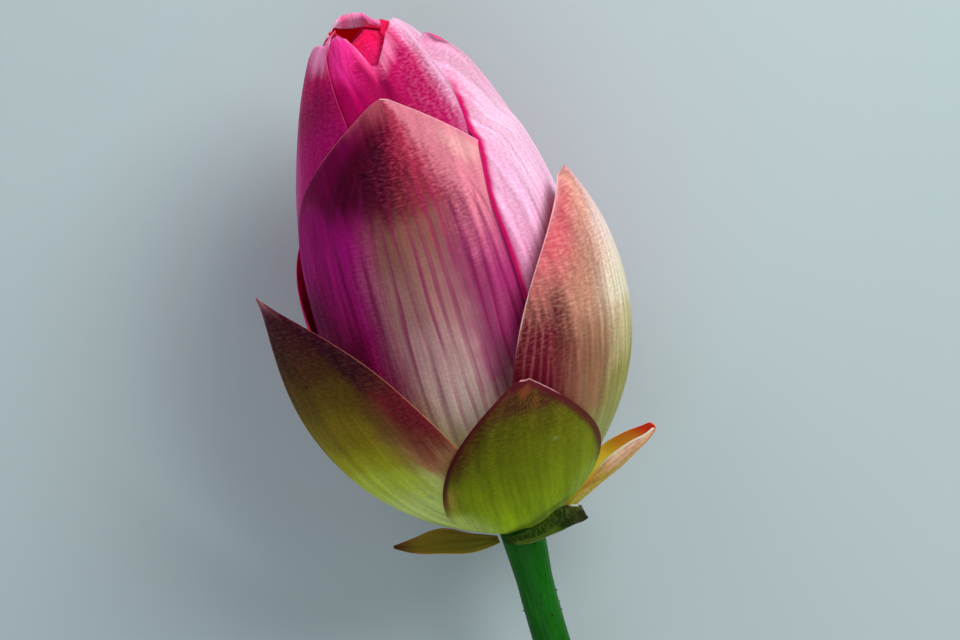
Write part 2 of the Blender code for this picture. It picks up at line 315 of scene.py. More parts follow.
i = np.arange(PRICKLES)
at = (0.5 + i + 0.4 * np.sin(i * 7.3)) / PRICKLES
turn = i * GOLDEN_TURN + 0.5 * np.sin(i * 3.1)
row = (at * BARE_ROWS).astype(int) + 2
outward = np.cos(turn)[:, None] * stem_side[row] + np.sin(turn)[:, None] * stem_front[row]
sideways = np.cross(outward, stem_way[row])
root = stem_line[row] + outward * (stem_radius(stem_line[row, 2]) - 0.12)[:, None]
long = 0.42 + 0.16 * np.sin(i * 5.7)
c, s = np.cos(circle(PRICKLE_SIDES))[:, None], np.sin(circle(PRICKLE_SIDES))[:, None]
points, up = [], []
for part, wide in PRICKLE_RINGS:
    middle = root + (outward + 0.3 * part * stem_way[row]) * ((long + 0.12) * part)[:, None]
    points.append(middle[:, None] + wide * (c * stem_way[row][:, None] * 1.3 + s * sideways[:, None]))
    up.append(np.full((PRICKLES, PRICKLE_SIDES), part))

prickle_finish, shader, place = new_finish("prickles")
colour = ramp(number(shader, "up"),
              ((0.1, (0.02, 0.13, 0.008)), (0.5, (0.03, 0.05, 0.01)), (0.9, (0.02, 0.012, 0.006))))
worn = fade(grain(place, 2500, 2), 0.3, 0.8, 0, 0.4)
feed(shader, {"Base Color": blend(worn, colour, (0.08, 0.05, 0.02)), "Roughness": 0.45})
make_piece("stem_prickles", np.stack(points, 1), tube_faces(len(PRICKLE_RINGS), PRICKLE_SIDES, PRICKLES),
           prickle_finish, slot="stem", up=np.stack(up, 1))

# ------------------------------
# The seed pod: a spongy yellow-green cone standing on its point on the stem. Its flat top holds
# the young seeds, each in a pit of its own with a bead-like stigma showing.
POD_WALL = ((13.5, 0.02), (13.5, 3.1), (14.2, 3.5), (16, 4.1), (20, 5.9), (24, 7.5), (25.8, 8.15),
            (26.8, 7.9), (27.1, 7.3))
POD_ROWS, POD_TOP_ROWS, POD_SIDES = 34, 44, 96
SEED_RINGS = ((0.02, 1), (2.9, 6), (5.6, 11))


def axis_x(s):
    """Sideways drift of the flower's axis: a bend at its foot and a lean to the left near its tip."""
    return 1.4 * np.clip(1 - np.abs(s) / 35, 0, 1) ** 2 - 1.5 * (np.clip(s, 0, None) / 100) ** 4


def seed_heights(x, y):
    """Height of the pod's top at x, y: a pit round each seed and the seed's rounded end in it."""
    high = 0
    for out, count in SEED_RINGS:
        for i in range(count):
            a = 0.3 * out + 2 * math.pi * i / count
            gap = np.hypot(x - out * math.cos(a), y - out * math.sin(a))
            high = high - 0.55 * (1 - smooth(gap, 0.75, 1.15)) + 1.1 * (1 - smooth(gap, 0.15, 0.6))
    return high


a = circle(POD_SIDES)
wall = spline(POD_WALL, POD_ROWS)
rims = np.linspace(0.97, 0.01, POD_TOP_ROWS)
r = np.concatenate([wall[:, 1], wall[-1, 1] * rims])[:, None] * (1 + 0.025 * np.cos(9 * a))[None, :]
x, y = r * np.cos(a), r * np.sin(a)
height = np.concatenate([wall[:, 0], np.full(len(rims), wall[-1, 0])])[:, None] + 0 * x
height[POD_ROWS:] += seed_heights(x[POD_ROWS:], y[POD_ROWS:]) + 0.25 * (1 - rims[:, None] ** 2)

pod_finish, shader, place = new_finish("seed pod flesh")
pores = grain(place, 2500, 2)
colour = ramp(grain(place, 500, 3), ((0.3, (0.42, 0.48, 0.06)), (0.7, (0.66, 0.64, 0.16))))
feed(shader, {"Base Color": colour,
              "Roughness": fade(pores, 0.3, 0.7, 0.45, 0.6),
              "Normal": bump(pores, 0.3)})
make_piece("seed_pod_flesh", np.stack([x + axis_x(height), y, height], -1), tube_faces(len(r), POD_SIDES),
           pod_finish, "seed_pod", "seed_pod")

# ------------------------------
# The stamens: a ring of thin pale stalks round the seed pod. Each carries a long yellow anther
# and ends in a small cream club, all leaning in against the pod as they do in a bud.
STAMENS, STAMEN_ROWS, STAMEN_SIDES = 84, 26, 6
STAMEN_LINE = ((5, 14), (6.6, 14.9), (9.6, 19), (10.6, 24), (10.2, 28.5), (9.4, 31))
STAMEN_FOOT = 14
STAMEN_WIDTH = ((0, 0.16), (0.42, 0.17), (0.47, 0.42), (0.8, 0.4), (0.84, 0.2), (0.9, 0.36), (0.97, 0.3),
                (1, 0.04))

line = spline(STAMEN_LINE, STAMEN_ROWS)
way = headings(line)
i = np.arange(STAMENS)[:, None, None]
turn = i * 2 * math.pi / STAMENS + 0.03 * np.sin(i * 5.1)
tall = 1 + 0.06 * np.sin(i * 2.3)
wide = 1 + 0.07 * np.sin(i * 4.1 + 1) - 0.16 * (i % 2)
up = np.linspace(0, 1, STAMEN_ROWS)
girth = np.interp(up, *np.array(STAMEN_WIDTH).T)[:, None]
ring = circle(STAMEN_SIDES)
r = line[:, :1] * (1 + (wide - 1) * smooth(line[:, 1:], STAMEN_FOOT, 20)) + girth * np.cos(ring) * way[:, 1:]
z = STAMEN_FOOT + (line[:, 1:] - STAMEN_FOOT) * tall - girth * np.cos(ring) * way[:, :1]
side = girth * np.sin(ring)
x = r * np.sin(turn) + side * np.cos(turn)
y = -r * np.cos(turn) + side * np.sin(turn)

stamen_finish, shader, place = new_finish("stamens")
colour = ramp(number(shader, "up"),
              ((0, (0.75, 0.62, 0.3)), (0.42, (0.85, 0.72, 0.36)), (0.48, (0.9, 0.5, 0.04)),
               (0.8, (0.86, 0.42, 0.03)), (0.88, (0.92, 0.85, 0.6)), (1, (0.95, 0.9, 0.7))))
colour = blend(grain(place, 900, 2), colour, (0.7, 0.45, 0.1), "MULTIPLY")
feed(shader, {"Base Color": colour, "Roughness": 0.6})
make_piece("stamen_ring", np.stack([x + axis_x(z), y, z], -1), tube_faces(STAMEN_ROWS, STAMEN_SIDES, STAMENS),
           stamen_finish, "stamens", "stamens", up=np.broadcast_to(up[:, None], x.shape))

# ------------------------------
# The two core petals: the smallest, folded round the stamens. Every petal is one thin blade that
# lies along the bud's egg shape, a little further out for each whorl, and narrows to a claw.
MERIDIAN = ((0, 5.5), (4.5, 7.1), (9.9, 9.7), (14.5, 13.4), (18.8, 18.6), (24.4, 29), (26.7, 38),
            (27.3, 48), (27.1, 58), (26.5, 66), (24.3, 77.5), (21.1, 87.3), (16.5, 98),
            (13.6, 103.2), (10.4, 107.7), (6.5, 111))
MERIDIAN_ROWS, MERIDIAN_WHORL = 600, 5
WHORL_PITCH = 1.05
CLAW_RADIUS, CLAW_WIDTH = 4.68, 4.2
BLADE, SEPAL, STRAP = 0.42, 0.55, 0.4
THIN_MARGIN, FOLD_MARGIN = 1.6, 9
SIDE_CROWDING, TIP_CROWDING = 1.25, 1.15
FOOT_POWER, LEVEL_POWER = 2.2, 8
FOLD_ROWS = 16
BUD_HEIGHT = 110


def whorl_meridian(whorl):
    """Distance along the whorl's own meridian from the claws, with its points and outward normals:
    the meridian of whorl 5, moved square to itself by the pitch for each whorl further out."""
    base = spline(MERIDIAN, MERIDIAN_ROWS)
    along = headings(base)
    normal = np.stack([along[:, 1], -along[:, 0]], 1)
    points = base + normal * (whorl - MERIDIAN_WHORL) * WHORL_PITCH
    arc = np.concatenate([[0], np.cumsum(np.linalg.norm(np.diff(points, axis=0), axis=1))])
    low = slice(0, MERIDIAN_ROWS // 2)
    return arc - np.interp(CLAW_RADIUS, points[low, 0], arc[low]), points, normal


def on_flower(r, phi, s):
    """Polar place on the flower, a little out of round as every grown bud is: the radius follows
    two and three waves round the axis, strongest at mid height, and is fuller low on the left;
    the height is raised at the foot of the front, where the bud is flatter underneath."""
    k = np.sin(np.clip(s, 0, BUD_HEIGHT) / BUD_HEIGHT * math.pi)
    r = r * (1 + 0.012 * k * np.cos(2 * phi + 0.6) + 0.01 * k * np.cos(3 * phi - 0.9))
    r = r + 1.3 * np.exp(-((s - 14) / 11) ** 2) * np.clip(np.cos(phi + 1.3), 0, 1) ** 2
    s = s + 1.5 * np.exp(-((s - 4) / 6) ** 2) * np.clip(np.cos(phi), 0, 1) ** 2
    return np.stack([r * np.sin(phi) + axis_x(s), -r * np.cos(phi), s], -1)


def through_thirds(values, v):
    """The cubic that takes the given values at v = 0, 1/3, 2/3 and 1."""
    knots = (0, 1 / 3, 2 / 3, 1)
    total = 0
    for i, value in enumerate(values):
        term = value
        for j, knot in enumerate(knots):
            if j != i:
                term = term * (v - knot) / (knots[i] - knot)
        total = total + term
    return total


def petal_form(azimuth, whorl, tip, half_width, taper=48, power=1.9, tip_width=1, foot=34,
               bow=(0, 0, 0, 0), hug=0.8, turn=0, turn_power=5, wrap=60, crest=((-1, 3), (0, 0), (1, 3)),
               skew=0, relief=None, fold=None, columns=57, rows=97):
    """A petal on its whorl. v runs from claw to tip by distance along the meridian, shortened by the
    crest; u runs from margin to margin. Half width = half_width narrowed by (1 - (1 - d) ** power)
    over the taper and by the foot, times 1 + skew * u; azimuth = petal's + turn * v ** turn_power
    + u * reach, which levels off at wrap degrees; radius = meridian + bow * (1 - hug * u * u)
    + relief. A fold (radius, angle, flap) carries the tip on over an arc towards the front and
    straight down after it. Gives points, u, v and millimetres across, along and in from the margin."""
    arc, points, normal = whorl_meridian(whorl)
    length = np.interp(tip, points[:, 1], arc)
    spread = np.sin(SIDE_CROWDING * np.linspace(-1, 1, columns)) / math.sin(SIDE_CROWDING)
    u, v = np.meshgrid(spread, 1 - (1 - np.linspace(0, 1, rows)) ** TIP_CROWDING)
    a = v * (length - np.interp(u, *np.array(crest, float).T))
    r, s = np.interp(a, arc, points[:, 0]), np.interp(a, arc, points[:, 1])
    narrowing = 1 - (1 - np.clip((1 - v) * length / min(taper, 0.75 * length), 0, 1)) ** power
    widening = 1 - (1 - np.clip(v * length / min(foot, 0.6 * length), 0, 1)) ** FOOT_POWER
    claw = CLAW_WIDTH / half_width
    width = tip_width + (half_width - tip_width) * narrowing
    width = width * (claw + (1 - claw) * widening) * (1 + skew * u)
    reach = width / r / math.radians(wrap)
    angle = math.radians(wrap) * reach / (1 + reach ** LEVEL_POWER) ** (1 / LEVEL_POWER)
    phi = np.radians(azimuth + turn * v ** turn_power) + u * angle
    margin = np.minimum(r * angle * (1 - np.abs(u)), (1 - v) * length)
    off = through_thirds(bow, v) * (1 - hug * u ** 2)
    if relief:
        off = off + relief(u, v, margin)
    out, up = np.interp(a, arc, normal[:, 0]) * off, np.interp(a, arc, normal[:, 1]) * off
    place = on_flower(r + out, phi, s + up)
    across, along = r * angle * u, a
    if fold:
        radius, bend, flap = fold
        way = place[-1] - place[-2]
        way = way / np.linalg.norm(way, axis=1)[:, None]
        front = np.array((0, -1, 0)) + way[:, 1:2] * way
        front = front / np.linalg.norm(front, axis=1)[:, None]
        t = np.linspace(0, 1, FOLD_ROWS + 1)[1:, None]
        run = t * (radius * math.radians(bend) + flap * np.clip(1 - ((u[-1] + 0.15) / 0.75) ** 2, 0, 1))
        turned = np.minimum(run / radius, math.radians(bend))
        rest = run - turned * radius
        on = (radius * np.sin(turned) + rest * np.cos(turned))[..., None]
        down = (radius * (1 - np.cos(turned)) + rest * np.sin(turned))[..., None]
        place = np.concatenate([place, place[-1] + way * on + front * down])
        u, across = (np.concatenate([part, part[-1:] + 0 * t]) for part in (u, across))
        v, along = np.concatenate([v, 1 + 0.05 * t + 0 * u[-1:]]), np.concatenate([along, along[-1:] + run])
        margin = np.minimum(np.concatenate([margin, FOLD_MARGIN + 0 * run]), FOLD_MARGIN)
    return place, u, v, across, along, margin


def make_sheet(name, form, finish, node, slot, thick):
    """The blade as a closed sheet: the form moved half its thickness out and in along its normals,
    thinner towards the margin, with a rim between the two sides."""
    place, u, v, across, along, margin = form
    rows, columns = u.shape
    normal = np.cross(np.gradient(place, axis=1), np.gradient(place, axis=0))
    normal /= np.linalg.norm(normal, axis=2, keepdims=True)
    half = (thick * (0.3 + 0.7 * smooth(margin, 0, THIN_MARGIN)) / 2)[..., None]
    points = np.concatenate([place + normal * half, place - normal * half])
    outer = grid_faces(rows, columns)
    index = np.arange(rows * columns).reshape(rows, columns)
    a = np.concatenate([index[0], index[1:, -1], index[-1, -2::-1], index[-2:0:-1, 0]])
    b, under = np.roll(a, -1), rows * columns
    rim = np.stack([b, a, a + under, b + under], 1)
    faces = np.concatenate([outer, outer[:, ::-1] + under, rim])
    uv, margin, across, along = (np.concatenate([one, one]) for one in
                                 (np.stack([(u + 1) / 2, v], -1), margin, across, along))
    side = np.concatenate([np.ones_like(u), np.zeros_like(u)])
    make_piece(name, points, faces, finish, node, slot, uv=uv, outer=side, margin=margin,
               across=across, along=along)


def make_petal(name, finish, node, slot, azimuth, whorl, tip, half_width, thick=BLADE, **shape):
    """A petal's form made a sheet: the direction it stands in, degrees from the front towards the
    right; its whorl; its tip's height and its half width in millimetres; and the rest of its shape."""
    make_sheet(name, petal_form(azimuth, whorl, tip, half_width, **shape), finish, node, slot, thick)


def between(value, places):
    """0 on the first place's side and 1 beyond the second; back to 0 between a third and a fourth."""
    part = fade(value, places[0], places[1])
    if len(places) == 4:
        part = times(part, fade(value, places[2], places[3], 1, 0))
    return part


ALL_OVER = (-1.2, -1.1)
# Strokes of noise in the skins, millimetres wide and long.
BRUSH, CRINKLE, STRIPES, WAVER, BREAKS = (1.3, 22), (1.1, 0.5), (3, 40), (9, 60), (2.6, 34)


def petal_finish(name, ground, washes=(), veins=(26, (0.6, 0.1, 0.3), 0.4, (0.1, 0.3)),
                 wrinkles=((0.95, 0.6, 0.7), 0.3, ALL_OVER, (0.4, 0.8)), rims=(), spots=(),
                 inside=((0, (0.85, 0.6, 0.5)), (1, (0.8, 0.1, 0.25))), glow=0.2, lumps=0.3, frayed=0.2):
    """Petal skin, painted from the foot up: a ground that changes along the petal; washes (tint, force,
    places across, u from -1 to 1, and places along, v from 0 to 1) laid over it; veins, a count of bands
    of equal u that waver; wrinkles, short pale streaks across the petal; rims, lines of a width that
    follow the margin; and spots, at millimetres across and along, of a radius. Washes are read through
    fine lengthwise brush strokes, because the pigment follows the veins, and frayed by the wrinkles."""
    finish, shader, place = new_finish(name)
    flat = put("ShaderNodeUVMap", {}, shader.id_data, uv_map="petal").outputs[0]
    u, v, _ = put("ShaderNodeSeparateXYZ", {0: flat}).outputs
    u = times_plus(u, 2, -1)
    across, along, margin = number(shader, "across"), number(shader, "along"), number(shader, "margin")

    def stroke(size, detail=3, shift=0):
        """Noise drawn out to streaks of about size millimetres across and along."""
        at = {0: times_plus(across, 1 / size[0], shift), 1: times(along, 1 / size[1])}
        return grain(put("ShaderNodeCombineXYZ", at).outputs[0], 1, detail, 0.55)

    def swing(noise):
        """Noise from -0.5 to 0.5."""
        return sums("SUBTRACT", noise, 0.5)

    def patch(side, from_side, foot, from_foot):
        """The part of the petal between places across and along it."""
        return times(between(side, from_side), between(foot, from_foot))

    brush, cloud, short = stroke(BRUSH), grain(place, 75, 3, 0.55), stroke(CRINKLE)
    drift = swing(cloud)
    smear = times(swing(brush), fade(v, 0.7, 0.95, 0.14, 0.04))
    up = sums("ADD", smear, times_plus(drift, fade(v, 0.7, 0.95, 0.14, 0.05), v))
    out = times_plus(drift, 0.3, times_plus(swing(brush), 0.1, u))
    out = times_plus(swing(short), fade(v, 0.5, 0.85, frayed * 0.3, frayed), out)
    colour = ramp(up, ground)
    for tint, force, from_side, from_foot in washes:
        colour = blend(times(patch(out, from_side, up, from_foot), force), colour, tint)

    count, tint, force, from_foot = veins
    phase = times_plus(stroke(WAVER, 2), 2, times(u, count / 2))
    wave = sums("COSINE", times(phase, 2 * math.pi))
    fine = sums("COSINE", times_plus(phase, 6.4 * math.pi, 1))
    vein = times(fade(wave, -0.1, 1), fade(stroke(BREAKS, 2, 5), 0.32, 0.6))
    vein = times_plus(fade(fine, 0.1, 1), 0.22, vein)
    colour = blend(times(times(vein, between(v, from_foot)), force), colour, tint)

    tint, force, from_side, from_foot = wrinkles
    creased = fade(short, 0.4, 0.75, 0, force)
    colour = blend(times(patch(out, from_side, up, from_foot), creased), colour, tint)
    shade = times(fade(brush, 0.3, 0.7, 0.86, 1.14), fade(short, 0.3, 0.7, 0.92, 1.07))
    shade = times(shade, fade(stroke(STRIPES, 2, 9), 0.3, 0.7, 0.85, 1.15))
    colour = put("ShaderNodeHueSaturation", {"Value": shade, "Color": colour}).outputs[0]

    edge = times_plus(swing(brush), 0.6, margin)
    for tint, force, wide, from_side, from_foot in rims:
        line = fade(edge, wide * 0.5, wide * 1.4, force, 0)
        colour = blend(times(patch(u, from_side, v, from_foot), line), colour, tint)
    for at_across, at_along, size, tint, force in spots:
        here = put("ShaderNodeCombineXYZ", {0: across, 1: along}).outputs[0]
        gap = put("ShaderNodeVectorMath", {0: here, 1: (at_across, at_along, 0)}, operation="DISTANCE")
        gap = times_plus(swing(grain(place, 600, 2)), size * 1.6, gap.outputs["Value"])
        colour = blend(fade(gap, size * 0.6, size * 1.4, force, 0), colour, tint)

    height = times_plus(short, 0.8, times(wave, -0.1))
    feed(shader, {"Base Color": blend(number(shader, "outer"), ramp(up, inside), colour),
                  "Roughness": fade(short, 0.3, 0.7, 0.66, 0.5),
                  "Normal": bump(height, lumps, 0.0003),
                  "Specular IOR Level": 0.05,
                  "Subsurface Weight": glow,
                  "Subsurface Scale": 1,
                  "Subsurface Radius": (0.0016, 0.0004, 0.0007)})
    return finish


def pleated(depth, count, seed):
    """Relief in millimetres: shallow pleats that run lengthwise and fade at the claw, with ripples."""
    def relief(u, v, margin):
        waves = depth * np.cos(count * u * math.pi + seed) * smooth(v, 0.1, 0.5) * (1 - smooth(v, 0.7, 0.95))
        return waves + depth * 1.2 * ripple(u * 4, v * 9, seed) * smooth(v, 0.05, 0.3)
    return relief


RED_INSIDE = ((0, (0.8, 0.75, 0.45)), (0.4, (0.9, 0.5, 0.6)), (1, (0.9, 0.02, 0.1)))
inner_finish = petal_finish(
    "inner petal skin",
    ((0, (0.75, 0.72, 0.4)), (0.25, (0.88, 0.6, 0.62)), (0.7, (0.9, 0.3, 0.48)), (0.9, (1, 0.01, 0.2)),
     (1, (1, 0, 0.07))),
    veins=(16, (0.85, 0, 0.12), 0.3, (0.1, 0.3)),
    wrinkles=((1, 0.3, 0.45), 0.06, ALL_OVER, (0.4, 0.8)), lumps=0.12,
    inside=RED_INSIDE, glow=0.6)
for side, azimuth, tip, seed in (("left", -90, 92, 1), ("right", 90, 90, 2)):
    make_petal(f"core_petal_{side}", inner_finish, f"petal_core_{side}", "petal_inner", azimuth, 0, tip, 24,
               tip_width=3, relief=pleated(0.07, 5, seed), columns=33, rows=61)

# ------------------------------
# The inner petals: four broader ones in two whorls round the core, pale pink and silky, their
# rounded ends closing the bud over the stamens.
silk_finish = petal_finish(
    "left inner petal skin",
    ((0, (0.75, 0.72, 0.4)), (0.25, (0.9, 0.6, 0.62)), (0.7, (0.95, 0.3, 0.5)), (0.9, (1, 0.4, 0.62)),
     (1, (1, 0.2, 0.46))),
    wrinkles=((1, 0.7, 0.8), 0.1, ALL_OVER, (0.4, 0.8)),
    inside=RED_INSIDE, glow=0.6)
for side, finish, azimuth, whorl, tip, half_width, tip_width, seed, columns, rows in (
        ("back", inner_finish, 160, 1, 108, 25, 4, 3, 37, 65),
        ("front", inner_finish, 14, 1, 107.5, 25, 4, 4, 37, 65),
        ("right", inner_finish, 75, 2, 109, 26, 5, 5, 41, 73),
        ("left", silk_finish, -105, 2, 109.5, 26, 5, 6, 41, 73)):
    make_petal(f"inner_petal_{side}", finish, f"petal_inner_{side}", "petal_inner", azimuth, whorl, tip,
               half_width, tip_width=tip_width, relief=pleated(0.07, 5, seed), columns=columns, rows=rows)

# ------------------------------
# The two petals whose tips make the rim of the opening: the back one stands highest with its
# pale edge folded in, the front one is deeply notched and crumpled where it was packed tight.
BACK_RIM_CREST = ((-1, 4), (-0.6, 1.8), (-0.45, 0.2), (0, 0), (0.5, 0.2), (0.75, 1.8), (1, 3))
NOTCHED_CREST = ((-1, 6), (-0.85, 3.2), (-0.69, 2.5), (-0.53, 4), (-0.46, 7), (-0.4, 11.3), (-0.3, 11.5),
                 (-0.2, 10), (0, 7), (0.13, 5), (0.45, 2.5), (0.87, 2), (1, 5))
hot_finish = petal_finish(
    "hot pink petal skin",
    ((0, (0.6, 0.6, 0.25)), (0.3, (0.62, 0.12, 0.26)), (0.7, (0.55, 0.005, 0.15)), (0.88, (0.47, 0, 0.1)),
     (0.94, (0.56, 0, 0.12)), (1, (1, 0.08, 0.28))),
    # Painted light: the first wash, a pale pink band on the petal's right flank, stands for light falling on
    # that side.
    washes=(((1, 0.5, 0.72), 0.97, (0.16, 0.5), (0.64, 0.84)),
            ((1, 0.03, 0.3), 0.95, (-0.42, -0.6), (0.87, 0.94)),
            ((1, 0.22, 0.48), 0.8, (0.5, -0.3), (0.985, 1.01)),
            # Painted highlight: this paler pink wash right of the notch stands for light catching the
            # crumpled folds there.
            ((1, 0.34, 0.56), 0.55, (-0.32, -0.24, -0.02, 0.2), (0.945, 0.98)),
            # Painted shade: this dark red wash at the foot of the notch stands for the shade in the crumpled
            # valley there.
            ((0.3, 0.001, 0.06), 0.85, (-0.6, -0.46, -0.34, -0.2), (0.86, 0.92, 0.95, 0.985))),
    veins=(24, (0.48, 0.002, 0.12), 0.35, (0.1, 0.3)),
    wrinkles=((1, 0.5, 0.68), 0.16, (-0.3, 0.2), (0.74, 0.86)),
    inside=((0, (0.8, 0.6, 0.4)), (0.6, (0.8, 0.05, 0.12)), (0.9, (1, 0, 0.01))), glow=0.6, lumps=0.18)


def rim_relief(u, v, margin):
    """Pleats, and a swelling of the tip that lifts the middle of the rim above its ends."""
    lift = 1.3 * smooth(v, 0.92, 1) * np.clip(1 - ((u - 0.1) / 0.8) ** 2, 0, 1)
    return pleated(0.08, 6, 7)(u, v, margin) + lift


def notched_relief(u, v, margin):
    """Pleats, a rounded shoulder on the left lobe, a pinched valley below the notch and a small dent."""
    shoulder = 0.5 * np.exp(-((u + 0.66) / 0.2) ** 2 - ((v - 0.94) / 0.05) ** 2)
    valley = -0.45 * np.exp(-((u + 0.36) / 0.1) ** 2 - ((v - 0.97) / 0.06) ** 2)
    dent = -0.5 * np.exp(-((u - 0.1) / 0.1) ** 2 - ((v - 0.93) / 0.012) ** 2)
    return pleated(0.08, 6, 8)(u, v, margin) + shoulder + valley + dent


make_petal("back_rim_petal", hot_finish, "petal_back_inner", "petal_hot_pink", -170, 3, 112, 27, taper=50,
           tip_width=7, relief=rim_relief, crest=BACK_RIM_CREST, fold=(0.8, 150, 1.9))
make_petal("notched_petal", hot_finish, "petal_front_inner", "petal_hot_pink", 22, 3, 112, 27, taper=50,
           tip_width=12, wrap=92, crest=NOTCHED_CREST, relief=notched_relief, columns=105, rows=121)

# ------------------------------
# The side petals of the fourth whorl: the left one long and deep purple, with a painted highlight on its tip,
# the right one hidden but for its edge at the back.
left_finish = petal_finish(
    "purple petal skin",
    ((0, (0.5, 0.5, 0.25)), (0.25, (0.45, 0.1, 0.25)), (0.68, (0.48, 0.01, 0.18)), (0.8, (0.46, 0, 0.14)),
     (0.88, (0.34, 0, 0.08)), (0.94, (0.55, 0, 0.11)), (1, (0.95, 0.1, 0.35))),
    washes=(((0.58, 0.14, 0.36), 0.7, (0.1, -0.5), (0.5, 0.65)),
            # Painted light: this pale pink wash on the tip stands for light falling on the tip's fold.
            ((1, 0.3, 0.56), 0.95, (-0.1, 0.25, 0.8, 1.1), (0.93, 0.975)),),
    veins=(22, (0.34, 0.001, 0.1), 0.4, (0.1, 0.3)),
    wrinkles=((0.9, 0.2, 0.5), 0.08, ALL_OVER, (0.6, 0.9)), glow=0.4)
pink_finish = petal_finish(
    "pink petal skin",
    ((0, (0.62, 0.66, 0.35)), (0.2, (0.85, 0.55, 0.58)), (0.6, (0.92, 0.36, 0.56)), (0.9, (0.9, 0.2, 0.42)),
     (1, (0.8, 0.06, 0.24))),
    veins=(28, (0.8, 0.08, 0.32), 0.5, (0.1, 0.35)),
    wrinkles=((0.98, 0.66, 0.78), 0.25, ALL_OVER, (0.3, 0.7)),
    rims=(((1, 0.7, 0.8), 0.6, 0.3, ALL_OVER, (0.5, 0.7)),))
make_petal("left_inner_petal", left_finish, "petal_left_inner", "petal_magenta", -66, 4, 107.9, 28, taper=57,
           power=1.1, turn=-17, tip_width=5.4, wrap=62, bow=(0, 0, -0.3, -0.3), skew=0.15,
           relief=pleated(0.08, 6, 9),
           crest=((-1, 5), (-0.67, 4), (-0.36, 2.7), (0, 1.5), (0.56, 1.2), (1, 1.8)))
make_petal("right_back_petal", pink_finish, "petal_right_back", "petal_pink", 110, 4, 102.5, 27, tip_width=3,
           wrap=58, relief=pleated(0.08, 6, 10))

# ------------------------------
# The fifth whorl: the broad front petal that wraps half the bud, with a cream middle, purple
# flanks and a salmon tip, and its partner on the back.
front_finish = petal_finish(
    "front petal skin",
    ((0, (0.6, 0.6, 0.4)), (0.26, (0.98, 0.84, 0.72)), (0.36, (0.8, 0.56, 0.5)), (0.48, (0.56, 0.31, 0.3)),
     (0.6, (0.42, 0.2, 0.18)), (0.72, (0.29, 0.11, 0.08)), (0.8, (0.18, 0.02, 0.028)),
     (0.86, (0.17, 0.004, 0.026)), (0.92, (0.24, 0.003, 0.04)), (1, (0.46, 0.08, 0.12))),
    washes=(((0.42, 0.002, 0.19), 0.97, (-0.2, -0.5), (0.12, 0.34, 0.76, 0.88)),
            ((0.27, 0.012, 0.11), 0.85, (0.02, 0.24), (0.3, 0.46, 0.66, 0.84)),
            ((0.52, 0.035, 0.21), 0.85, (0.22, 0.42), (0.36, 0.5, 0.68, 0.82)),
            # Painted shadow: the next two dark washes on the lower left flank stand for the shadow that the
            # sepals' edges cast there.
            ((0.15, 0, 0.06), 0.9, (-0.64, -0.94), (0.4, 0.52, 0.6, 0.7)),
            ((0.15, 0, 0.05), 0.9, (-0.42, -0.62), (0.34, 0.42, 0.5, 0.6)),
            ((0.06, 0, 0.014), 0.95, (-1, -0.55, -0.2, 0.04), (0.7, 0.84, 0.9, 0.98)),
            ((0.16, 0, 0.05), 0.9, (-0.45, -0.7), (0.79, 0.87, 0.93, 0.99)),
            ((0.46, 0.03, 0.08), 0.85, (-0.08, 0.18), (0.68, 0.86)),
            ((0.78, 0.23, 0.31), 0.95, (0.14, 0.42), (0.56, 0.78)),
            ((0.92, 0.54, 0.48), 0.45, (0.5, 0.7, 0.85, 1), (0.8, 0.86, 0.88, 0.93))),
    veins=(26, (0.26, 0.003, 0.09), 0.65, (0.2, 0.4, 0.66, 0.92)),
    wrinkles=((0.84, 0.24, 0.26), 0.15, (-0.5, 0.3), (0.66, 0.9)),
    # The first rim, a pale pink line along the upper right margin, is a painted highlight on the petal's
    # edge.
    rims=(((1, 0.66, 0.68), 0.7, 0.2, (-0.1, 0.2), (0.8, 0.86)),
          ((0.6, 0.2, 0.28), 0.5, 0.16, (0, -0.2), (0.86, 0.92))),
    spots=((-7.4, 83.7, 0.45, (0.02, 0.001, 0.005), 0.9),), frayed=0.3)
make_petal("front_petal", front_finish, "petal_front", "petal_magenta", -2, 5, 94.8, 40.6, taper=32.5,
           power=1.17, tip_width=1.8, wrap=74, skew=-0.14, crest=((-1, 0.8), (0, 0), (1, 0.5)),
           relief=pleated(0.08, 7, 11), columns=97, rows=121)
make_petal("back_petal", pink_finish, "petal_back", "petal_pink", 176, 5, 100, 36, taper=42, wrap=80,
           relief=pleated(0.08, 7, 12), columns=73)

# ------------------------------
# The sixth whorl: the bright right petal, pale pink where the light reaches it, lapping over the
# front petal, and a crimson one at the back left whose edge shows along the bud's outline.
right_finish = petal_finish(
    "bright pink petal skin",
    ((0, (0.62, 0.66, 0.35)), (0.2, (0.9, 0.5, 0.6)), (0.5, (0.95, 0.42, 0.68)), (0.68, (0.92, 0.52, 0.74)),
     (0.8, (0.88, 0.49, 0.67)), (0.92, (0.86, 0.42, 0.6)), (1, (1, 0.4, 0.62))),
    washes=(((0.97, 0.3, 0.54), 0.4, (-0.6, -0.95), (0.4, 0.55)),
            ((0.82, 0.24, 0.4), 0.6, (-0.55, -0.8), (0.82, 0.87, 0.9, 0.94))),
    veins=(34, (0.88, 0.2, 0.46), 0.35, (0.2, 0.4)),
    wrinkles=((1, 0.8, 0.9), 0.25, ALL_OVER, (0.4, 0.65)),
    # The dark crimson band along the front margin is partly the petal's deeper pink edge and partly painted
    # shade of the margin rolled in against the petals below and of the gap under it.
    rims=(((0.64, 0.002, 0.13), 1, 1.15, (-0.3, -0.7), (0.2, 0.4, 0.86, 0.94)),))


def right_relief(u, v, margin):
    """Pleats, and a front margin rolled in against the petals below, which it hugs near the tip."""
    front = smooth(-u, -0.1, 0.6)
    roll = -0.75 * (1 - smooth(margin, 0, 2)) * front * smooth(v, 0.25, 0.5)
    closing = -2.3 * smooth(v, 0.765, 0.82) * smooth(-u, -0.4, 0.8)
    return pleated(0.08, 6, 13)(u, v, margin) + roll + closing


